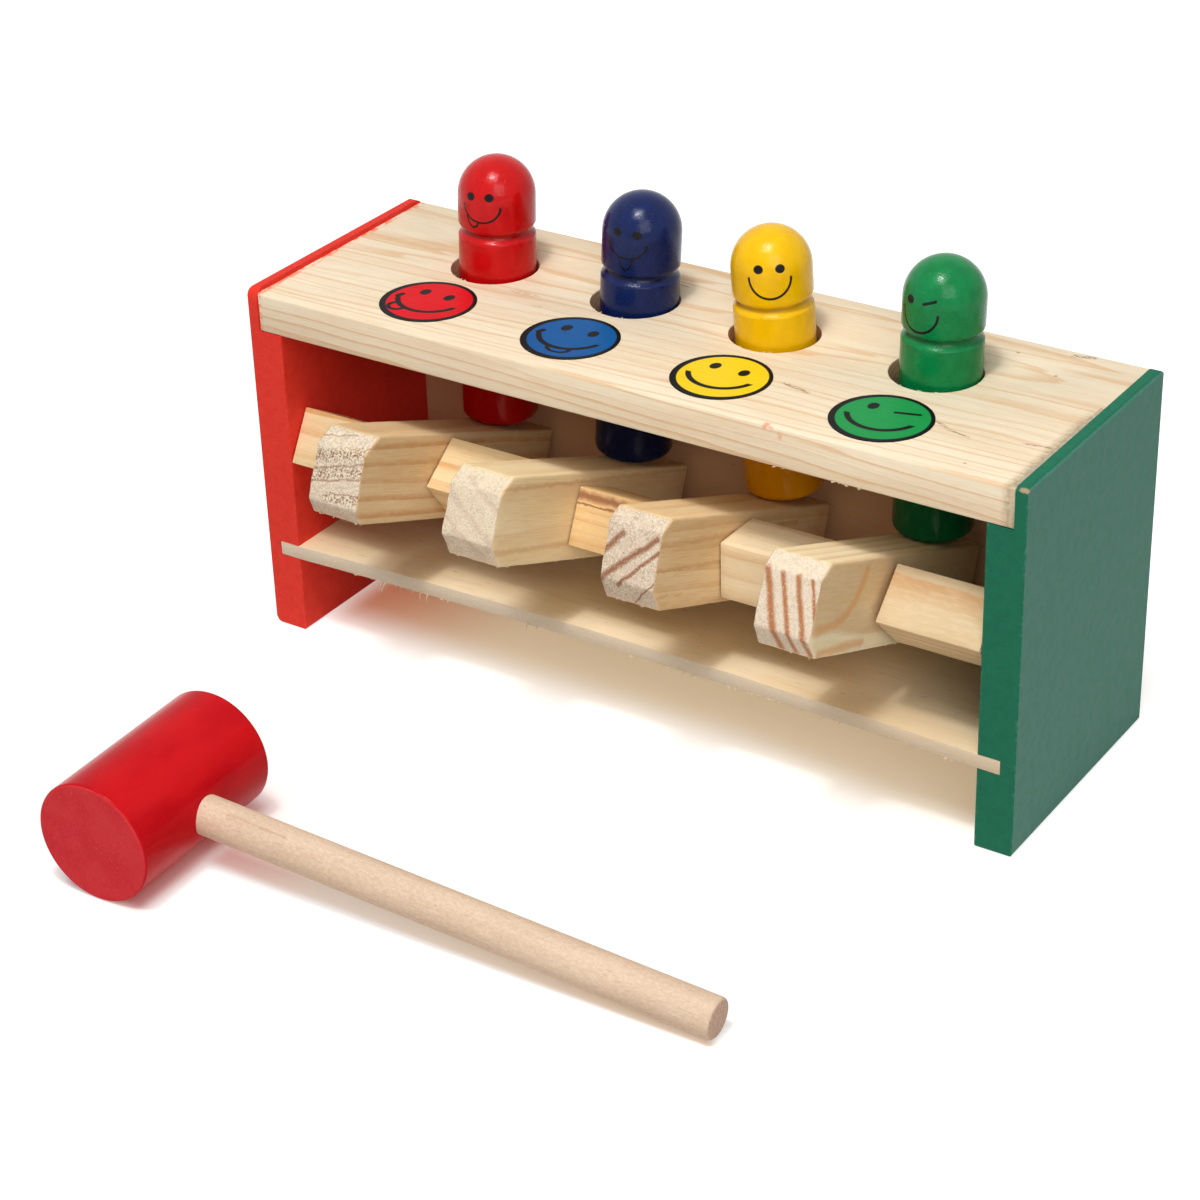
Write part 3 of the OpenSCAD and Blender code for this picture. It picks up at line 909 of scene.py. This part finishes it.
for number, (turn, look) in enumerate(zip(BLOCK_TURN, BLOCK_PINE)):
    block = blank("block_%d_of_5" % (number + 1), (-BLOCK_LONG, -BLOCK_WIDE, -BLOCK_WIDE),
                  (BLOCK_LONG, BLOCK_WIDE, BLOCK_WIDE))
    ease(block, sharp, 0.3)
    for x in (-12, -8, -4, 0, 4, 8, 12):
        saw(block, (x, 0, 0), (1, 0, 0))
    for value in (-5, 0, 5):
        saw(block, (0, value, 0), (0, 1, 0))
        saw(block, (0, 0, value), (0, 0, 1))
    roughen(block, lambda spot: 0.6 if abs(spot.x) < 13.5 else 0.1, 0.3)
    drill(block, [(0, 0, 0)], BORE_RADIUS, 34, (0, math.pi / 2, 0))
    spin = (math.radians(turn), 0, 0)
    where = (block_x[number], axle_y, axle_z)
    place(block, where, spin)
    finish = Finish("block_pine_%d" % (number + 1), where, spin)
    bare(finish, pine(finish, finish.x, finish.y, finish.z, {**PALE, **look}, spin, 0))
    hand_over(block, "spacer_block_%d" % (number + 1), "spacer_%d" % (number + 1), finish)

# %% [markdown]
# ## Shelf
#
# The shelf is a thin board let into grooves in the panels. Between them it has bowed: its front
# edge rises almost 2 mm in the middle. Its sawn front edge is grey and furry, with a few long
# curls hanging from it. The bow comes from cuts across the board and a Displace modifier whose
# vertex group is heaviest at the middle of the front edge.

# %% The shelf board
SHELF_END, SHELF_DEPTH = 108.8, 64.9
shelf = blank("shelf", (-SHELF_END, front_y, SHELF_UNDER),
              (SHELF_END, front_y + SHELF_DEPTH, SHELF_TOP))
ease(shelf, lambda edge: runs_along(edge, 0), 0.25)
for share in range(-9, 10):
    saw(shelf, (share * 11.2, 0, 0), (1, 0, 0))
for depth in (4, 12, 22, 34, 48):
    saw(shelf, (0, front_y + depth, 0), (0, 1, 0))


def bowed(x):
    """How far the front edge has risen at a place along it, as a share of its middle."""
    return max(0.0, 1 - (x / INNER_END) ** 2)


bow = shelf.vertex_groups.new(name="bow")
for vertex in shelf.data.vertices:
    fade = max(0.0, 1 - (vertex.co.y / MM - front_y) / 36) ** 1.5
    bow.add([vertex.index], bowed(vertex.co.x / MM) * fade, "REPLACE")
modify(shelf, "DISPLACE", direction="Z", strength=SHELF_BOW * MM, mid_level=0.0,
       vertex_group="bow")
print("shelf front edge rises to", round(max(v.co.z for v in shelf.data.vertices) / MM, 2), "mm")

# %% Its furry edge
def shelf_edge(x, drop):
    """A place on the bowed front edge, drop below the top of the board."""
    return (x, front_y + 0.05, SHELF_TOP - drop + SHELF_BOW * bowed(x))


dice = random.Random(9)
bits = []
for _ in range(110):
    x = dice.uniform(-85, 101)
    size = (dice.uniform(0.15, 1.3), dice.uniform(0.1, 0.75) ** 1.6 + 0.1, 0.12)
    bits.append(fibre(splinter, shelf_edge(x, dice.uniform(3.75, 3.95)), size,
                      (-95 + dice.uniform(-30, 30), 0, dice.uniform(-60, 60))))
CURLS = ((-75, 0.3, 0.32, 200), (-73.5, 0.35, 0.36, 160), (-61.5, 0.5, 0.3, 80),
         (-59.5, 0.5, 0.34, 60), (-27, 0.4, 0.3, 80), (21, 0.3, 0.3, 110), (61, 0.25, 0.3, 90))
for x, thick, size, turn in CURLS:
    bits.append(fibre(curl, shelf_edge(x, 3.8), (thick, size, thick), (-30, 0, turn)))
unite(shelf, bits)
print("torn fibres on the shelf:", len(bits))

# %% [markdown]
# Plywood is peeled from a log, so its face shows broad soft clouds and short dark pores where
# pine shows rings. The edge is the torn end of the plies. It is picked by the direction of the
# surface: what faces the front is edge.

# %% Plywood
def plywood(name, place, edge_tone, painted_shade=0.0):
    finish = Finish(name, place)
    x, y, z = finish.x, finish.y, finish.z
    cloud = finish.streaks(0.02, 0.055, detail=3)
    fine = finish.streaks(0.09, 1.3, detail=3)
    pores = finish.streaks(0.22, 1.1, 40, detail=2).step(0.7, 0.76)
    # The last argument paints shade: the face turns darker and more orange, and the sawn edge and
    # the darker right end are left out
    face = finish.layers(
        tone(238, 220, 186), (cloud.step(0.36, 0.64), tone(228, 204, 164)),
        (fine.step(0.52, 0.75) * 0.35, tone(206, 174, 130)), (painted_shade * 0.75, tone(204, 148, 104)),
        (pores * 0.5, tone(140, 104, 72)))
    edge = abs(finish.facing()[1]).step(0.5, 0.8) * (1 - painted_shade)
    plies = finish.noise(x * 0.06, y * 0.4, z * 1.2, detail=3, roughness=0.7)
    torn = finish.streaks(1.4, 2.0, detail=3)
    sawn = finish.layers(edge_tone, (plies.step(0.35, 0.65), tone(219, 199, 172)),
                         (torn.step(0.55, 0.75) * 0.6, tone(238, 228, 212)))
    height = fine * (1 - edge) * 0.5 + torn * edge * 2.5
    board = finish.layers(face, (edge, sawn),
                          (x.step(30, 90) * 0.45 * (1 - painted_shade), tone(208, 182, 146)))
    return finish.coat(board, 0.68 + fine * 0.15, height, 0.08, 0.25)


hand_over(shelf, "shelf_board", "bench",
          plywood("shelf_plywood", (0, front_y, SHELF_UNDER), tone(221, 206, 183)))


def dress(node, finish):
    """A solid whose shape is right keeps its mesh and gets a finish."""
    for slot in nodes[node].material_slots:
        slot.material = finish.material
    print(node, "is finished as", finish.material.name)


# The back board stands in shade under the deck, and its face is painted darker and more orange:
# painted shade
dress("back_board", plywood("back_plywood", (0, front_y + 60.9, SHELF_TOP),
                            tone(214, 190, 158), 1.0))

# %% [markdown]
# ## End panels
#
# The panels are fibreboard, sprayed. The paint is satin and finely mottled on the flat faces.
# It sinks into the cut edges, which stay coarse, and it is rubbed thin along the corners. All of
# that depends on how near a point is to an edge, and for a box this is plain arithmetic: the
# middle one of the distances to its three pairs of faces. On the green panel's outside face the
# colour is lighter and greyer in patches: a painted sheen, the white surroundings reflected at a
# grazing angle.

# %% Fibreboard paint
def edge_distance(finish, half):
    """How far a point on a box's surface is from the nearest edge, in millimetres."""
    gaps = [half[axis] - abs(value) for axis, value in enumerate((finish.x, finish.y, finish.z))]
    low, high = gaps[0].least(gaps[1]), gaps[0].most(gaps[1])
    return low.most(high.least(gaps[2]))


def panel_paint(name, side, rise, paint, thin, wear_and_sheen, painted_sheen):
    """The paint of one panel, by its side of the bench and its rise above the deck, with a
    painted sheen of the given share on its outside face.
    """
    half = (PANEL_THICK / 2, DEPTH / 2, (deck_top + rise) / 2)
    finish = Finish(name, (side * (HALF_LENGTH - half[0]), front_y + half[1], half[2]))
    mottle = finish.own_noise(0.35, detail=4, roughness=0.65)
    grit = finish.own_noise(1.6, detail=3, roughness=0.6)
    specks = finish.streaks(2.6, 2.6, 9, detail=1)
    flat = abs(finish.facing()[0]).step(0.5, 0.8)
    # The outside face gets a lighter, greyer colour in patches: a painted sheen
    outside = finish.facing()[0].step(0.5, 0.8) * painted_sheen
    gap = edge_distance(finish, half)
    ragged = finish.own_noise(0.8, detail=4)
    rubbed = (1 - (gap - (ragged - 0.5) * 1.6).step(0.1, 0.6)) * ragged.step(0.45, 0.62)
    colour = finish.layers(
        paint, (mottle.step(0.35, 0.68) * 0.5, thin),
        (outside * (mottle.step(0.3, 0.7) * 0.22 + grit * 0.3 + 0.38), wear_and_sheen),
        (specks.step(0.68, 0.74) * flat * 0.35, wear_and_sheen), (rubbed * 0.2, wear_and_sheen))
    height = grit * (1 - flat) * 2.2 + grit * flat * 0.5 + mottle * 0.6
    return finish.coat(colour, 0.5 + grit * 0.2 - rubbed * 0.1, height, 0.07, 0.16), colour


red_paint, _ = panel_paint("red_panel_paint", -1, 1.3, tone(230, 58, 44), tone(216, 46, 35),
                           tone(238, 96, 74), 0.0)
dress("red_end_panel", red_paint)
green_paint, colour = panel_paint("green_panel_paint", 1, 0.4, tone(22, 106, 78),
                                  tone(16, 94, 70), tone(106, 152, 142), 0.7)
wobble = (green_paint.own_noise(0.9, detail=2) - 0.5) * 1.2
chip = dot(green_paint.x + wobble * 1.6, green_paint.z + wobble, (4.0, 49.4), (1.3, 0.55), 0.25)
chip = chip * (1 - green_paint.y.step(-36.3, -35.6))
green_paint.surface(Base_Color=green_paint.mix(chip * 0.85, colour, tone(180, 150, 120)))
dress("green_end_panel", green_paint)

# %% [markdown]
# ## Pegs
#
# A peg is turned on a lathe: a round foot, a groove round its neck, a domed head. The lathe
# in Blender is Spin: a single point is extruded along the outline, and the outline is spun
# round the axis. All four pegs come from one outline, each with its own heights, as four turned
# by hand would. Each then leans in its loose hole as the solids do, which the solid's own box
# confirms.

# %% Turning a peg
def lathe(name, outline, steps=72):
    """Turns an outline of (radius, height) in millimetres round the Z axis."""
    bpy.ops.object.select_all(action="DESELECT")
    bpy.ops.mesh.primitive_plane_add(size=MM)
    piece = bpy.context.object
    piece.name = name
    bpy.ops.object.mode_set(mode="EDIT")
    bpy.ops.mesh.select_mode(type="VERT")
    bpy.ops.mesh.merge(type="CENTER")
    bpy.ops.transform.translate(value=(outline[0][0] * MM, 0, outline[0][1] * MM))
    for before, after in zip(outline, outline[1:]):
        step = ((after[0] - before[0]) * MM, 0, (after[1] - before[1]) * MM)
        bpy.ops.mesh.extrude_region_move(TRANSFORM_OT_translate={"value": step})
    bpy.ops.mesh.select_all(action="SELECT")
    bpy.ops.mesh.spin(steps=steps, angle=2 * math.pi, center=(0, 0, 0), axis=(0, 0, 1))
    bpy.ops.mesh.select_all(action="SELECT")
    bpy.ops.mesh.remove_doubles(threshold=0.002 * MM)
    bpy.ops.mesh.normals_make_consistent(inside=False)
    bpy.ops.object.mode_set(mode="OBJECT")
    return piece


def quarter(centre, radius, start, end, count):
    """Points of an arc, with its angles in degrees from the outward direction."""
    turns = [math.radians(start + (end - start) * index / count) for index in range(count + 1)]
    return [(centre[0] + radius * math.cos(turn), centre[1] + radius * math.sin(turn))
            for turn in turns]


def peg_outline(top, neck):
    """Foot, body, neck groove and domed head, for the height of its top and of its neck."""
    return ([(0, 0)] + quarter((PEG_RADIUS - 2, 2), 2, -90, 0, 6)
            + [(PEG_RADIUS, 20), (PEG_RADIUS, neck - 10)]
            + quarter((PEG_RADIUS - 0.9, neck - 2.15), 0.9, 0, 55, 4)
            + [(9.35, neck - 0.75), (8.95, neck - 0.2), (8.95, neck + 0.2), (9.3, neck + 0.8)]
            + quarter((PEG_RADIUS - 1.15, neck + 1.85), 1.15, -65, 0, 5)
            + [(PEG_RADIUS, top - 13)]
            + quarter((0, top - PEG_RADIUS), PEG_RADIUS, 0, 88, 18) + [(0, top)])


print("points of the outline:", len(peg_outline(73.3, 53.5)))

# %% Four pegs in their holes
PEG_SIZES = ((73.65, 54.36), (72.19, 51.91), (71.90, 53.06), (73.07, 54.17))
PEG_FOOT = ((-66.064, 72.859, 56.916), (-22.750, 72.336, 57.004), (22.183, 74.450, 56.699),
            (65.647, 73.211, 56.806))
LEAN = [math.radians(angle) for angle in (1.6, 3.3, -3.2, 1.2)]
LEAN_SIDE = math.radians(32)
pegs = []
for colour, (top, neck), foot, lean in zip(COLOURS, PEG_SIZES, PEG_FOOT, LEAN):
    peg = lathe("turned_%s_peg" % colour, peg_outline(top, neck))
    place(peg, foot, (0, lean, LEAN_SIDE))
    pegs.append(peg)
    print(colour, "peg top:", round(max(v.co.z for v in peg.data.vertices) / MM, 2),
          "solid's:", round(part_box(colour + "_peg")[1][2] / MM, 2))

# %% [markdown]
# The pegs are dipped in gloss paint and the faces are stamped on. A low roughness gives the
# small sharp highlights, and faint bumps in them are dust and raised fibres. Below the deck the
# paint is darker towards the foot: painted shade. The neck groove is darker too, partly from
# paint pooled in it and partly as painted shade. A face is drawn on the unrolled
# cylinder: the angle round the peg times its radius runs across, and the height runs up. Turning
# the pattern's X axis to the middle of the face puts the face at angle zero. The faces are the
# plain dots and arc of any smiling face.

# %% Gloss paint and stamped faces
# Each face's direction in degrees, and its marks as (across, up) on the unrolled peg. A mouth
# has its middle, then its half width and half height.
FACES = (
    {"towards": -81.7, "eyes": ((-2.75, 65.4), (2.75, 65.75)), "mouth": (0.35, 63.1, 5.35, 4.35),
     "tongue": ((-3.9, 60.0), (-3.3, 58.1), (-1.9, 57.15), (-0.7, 57.7), (-0.45, 58.6))},
    {"towards": -81.4, "eyes": ((-2.83, 64.2), (2.83, 64.25)), "mouth": (0.07, 61.7, 5.35, 3.8),
     "tongue": ((-2.0, 58.0), (-1.15, 55.6), (0.05, 54.5), (1.3, 55.8), (1.95, 57.9))},
    {"towards": -62.2, "eyes": ((-2.83, 64.3), (2.83, 64.35)), "mouth": (0.05, 61.95, 5.43, 5.3)},
    {"towards": -101.0, "eyes": ((-2.83, 64.2),), "wink": ((1.45, 64.1), (4.5, 65.25)),
     "mouth": (0.0, 61.7, 5.25, 5.2)},
)


def stamped_face(across, up, face):
    middle, line, half_wide, half_high = face["mouth"]
    smile = ring(across, up, (middle, line), (half_wide, half_high), 0.33) * below(
        across, up, (middle - half_wide, line + 0.2), (middle + half_wide, line + 0.2))
    marks = [smile] + [dot(across, up, eye, (1.28, 1.08), 0.14) for eye in face["eyes"]]
    if "wink" in face:
        marks.append(stroke(across, up, *face["wink"], 0.36))
    tongue = face.get("tongue", ())
    marks += [stroke(across, up, start, end, 0.27) for start, end in zip(tongue, tongue[1:])]
    return drawn(marks)


PEG_PAINT = ((tone(202, 12, 14), tone(192, 8, 11)), (tone(14, 32, 84), tone(11, 27, 76)),
             (tone(240, 188, 0), tone(234, 181, 0)), (tone(6, 128, 68), tone(3, 118, 60)))
PAINTED_SHADE_TONES = (tone(150, 8, 12), tone(20, 18, 30), tone(220, 100, 2), tone(22, 60, 36))
for number, (colour, paint, face) in enumerate(zip(COLOURS, PEG_PAINT, FACES)):
    neck_z = PEG_SIZES[number][1]
    lean = Euler((0, LEAN[number], LEAN_SIDE)).to_matrix()
    turn = (lean @ Matrix.Rotation(math.radians(face["towards"]) - LEAN_SIDE, 3, "Z")).to_euler()
    finish = Finish("%s_peg_paint" % colour, PEG_FOOT[number], turn)
    x, y, z = finish.x, finish.y, finish.z
    across = y.maths("ARCTAN2", x) * PEG_RADIUS
    ink = stamped_face(across, z, face) * x.step(0, 1)
    cloud = finish.noise(x * 0.3, y * 0.3, z * 0.2, detail=3)
    dust = finish.own_noise(1.3, detail=2)
    turning = finish.noise(across * 0.05, z * 1.8, 0.0, detail=2)
    neck = 1 - abs(z - neck_z).step(0.1, 0.75)
    # Darker in the neck groove, partly pooled paint and partly painted shade, and darker towards
    # the foot, which is painted shade under the deck; then the stamped ink
    painted = finish.layers(
        paint[0], (cloud.step(0.35, 0.65), paint[1]), (neck * 0.45, dimmed(paint[1], 0.25)),
        ((1 - z.step(24, 34)) * 0.5, PAINTED_SHADE_TONES[number]), (ink, tone(12, 9, 11)))
    speck = finish.own_noise(2.4, detail=1).step(0.62, 0.74)
    rim = 1 - abs(z - neck_z + 1.6).step(0.3, 1.4)
    height = dust * 0.9 + speck * (0.5 + rim * 1.2) + turning * 0.45 + ink * 0.15
    finish.coat(painted, 0.13 + dust * 0.1, height, 0.06, 0.2)
    hand_over(pegs[number], colour + "_peg", colour + "_peg", finish, 50)

# %% [markdown]
# ## Stickers
#
# Four printed discs run along the front of the deck. Their rim, eyes and smiles are drawn with
# the same helpers, straight down onto the disc. The print is flatter than the pegs' paint, and
# the film lies on the grain, so a little of the wood's relief shows through.

# %% Printed discs
STICKERS = (
    {"eyes": ((-4.2, 4.6), (3.4, 4.6)), "loop": ((-5.4, -6.2), (2.3, 2.2))},
    {"eyes": ((-4.2, 4.6), (3.7, 4.8)), "loop": ((0.9, -6.6), (3.1, 2.2))},
    {"eyes": ((-4.5, 4.6), (3.8, 4.5))},
    {"eyes": ((-4.8, 4.7),), "wink": ((1.5, 4.2), (7.1, 5.9))},
)
PRINTS = (tone(216, 14, 26), tone(14, 85, 148), tone(244, 206, 34), tone(28, 145, 72))
SKEW, PITCH = math.radians(-0.73), 44.6
for number, (colour, print_tone, face) in enumerate(zip(COLOURS, PRINTS, STICKERS)):
    offset = (number - 1.5) * PITCH
    centre = (-0.5 + offset * math.cos(SKEW), front_y + 17.3 + offset * math.sin(SKEW), deck_top)
    finish = Finish("%s_print" % colour, centre, (0, 0, SKEW))
    x, y = finish.x, finish.y
    smile = ring(x, y, (-0.4, 2.6), (9.1, 9.1), 0.72) * below(x, y, (-9.4, -1.2), (8.4, 0.0))
    rim = ((x - 0.3) ** 2 + (y - 0.15) ** 2).step(11.2 ** 2, 11.45 ** 2)
    marks = [smile, rim] + [dot(x, y, eye, (1.4, 1.8), 0.15) for eye in face["eyes"]]
    if "wink" in face:
        marks.append(stroke(x, y, *face["wink"], 0.55))
    if "loop" in face:
        outside = ((x + 0.4) ** 2 + (y - 2.6) ** 2).step(8.6 ** 2, 9.1 ** 2)
        marks += [stroke(x, y, (-9.1, -0.8), (-8.7, 0.5), 0.8),
                  ring(x, y, *face["loop"], 0.62) * outside]
    grain = finish.noise(x * 0.05, y * 1.2, 0.0, detail=2)
    fade = finish.noise(x * 0.3, y * 0.3, 0.0, detail=2)
    printed = finish.layers(
        print_tone, (grain.step(0.35, 0.65) * 0.5, dimmed(print_tone, 0.88)),
        (drawn(marks), tone(8, 6, 8)))
    finish.coat(printed, 0.42 + fade * 0.15, grain, 0.03, 0.1)
    dress(colour + "_sticker", finish)

# %% [markdown]
# ## Mallet
#
# The head is a painted cylinder: glossy round its side, and duller and speckled on its sawn
# ends, where the paint sank into the grain. The surface's own direction tells the two apart.
# The handle is a bare dowel, as the axle rod is: even, slightly pink wood with short dark pores
# along it. Both solids already have the right shape, so they only get their finish.

# %% The painted head
HEAD = ((MALLET_X, front_y - 102.7, 16), (0, math.radians(4.031), math.radians(2.5)))
head = Finish("mallet_paint", *HEAD)
x, y, z = head.x, head.y, head.z
flat = abs(head.facing(HEAD[1])[1]).step(0.6, 0.85)
cloud = head.noise(x * 0.12, y * 0.05, z * 0.12, detail=3).step(0.35, 0.65)
fibres = head.noise(x * 0.9, y * 0.05, z * 0.9, detail=3)
pits = head.own_noise(1.7, detail=3, roughness=0.65)
side_tone = head.mix(cloud, tone(202, 22, 28), tone(188, 14, 24))
end_tone = head.layers(
    tone(205, 45, 53), (cloud * 0.6 + pits.step(0.4, 0.6) * 0.4, tone(213, 58, 63)),
    (pits.step(0.68, 0.73) * 0.6, tone(230, 130, 122)))
height = (fibres * 0.5 + pits * 0.2) * (1 - flat) + pits * flat
head.coat(head.mix(flat, side_tone, end_tone), 0.13 + flat * 0.38 + pits * 0.06, height,
          0.06, 0.05)
dress("mallet_head", head)

# %% Bare dowels
def dowel(name, where, turn, stain=0.0):
    """Bare turned wood along X, with a darker streak where it is stained."""
    finish = Finish(name, where, turn)
    cloud = finish.streaks(0.03, 0.2, detail=2)
    fine = finish.streaks(0.12, 1.6, detail=3, roughness=0.6)
    pores = finish.streaks(0.45, 2.2, detail=2).step(0.6, 0.7)
    speckle = finish.streaks(0.9, 1.4, detail=3, roughness=0.7)
    streak = stroke(finish.x, finish.y, (24, -2.5), (40, -2.2), 0.5, 0.8) * fine.step(0.3, 0.6)
    end = abs(finish.facing(turn)[0]).step(0.6, 0.85)
    grain = finish.streaks(1.0, 1.8, detail=3)
    sawn = finish.mix(grain.step(0.35, 0.65), tone(212, 180, 158), tone(194, 158, 134))
    wood = finish.layers(
        tone(219, 191, 164), (cloud.step(0.35, 0.65), tone(211, 182, 155)),
        (fine.step(0.5, 0.75) * 0.35, tone(238, 216, 190)),
        (speckle.step(0.45, 0.6) * 0.25, tone(244, 224, 200)), (pores * 0.4, tone(188, 150, 118)),
        (streak * stain, tone(176, 128, 92)), (end, sawn))
    height = fine * 0.5 + (1 - pores) * 0.3 + grain * end * 1.5
    return finish.coat(wood, 0.6 + fine * 0.15, height, 0.07, 0.3)


dress("mallet_handle", dowel("handle_dowel", *HEAD, stain=0.5))
dress("axle_rod", dowel("axle_dowel", (0, axle_y, axle_z), (0, 0, 0)))

# %% [markdown]
# ## Closing
#
# The shapes of the torn fibres were only patterns for copies, so they go.

# %% Closing
for pattern in (splinter, curl):
    bpy.data.objects.remove(pattern)
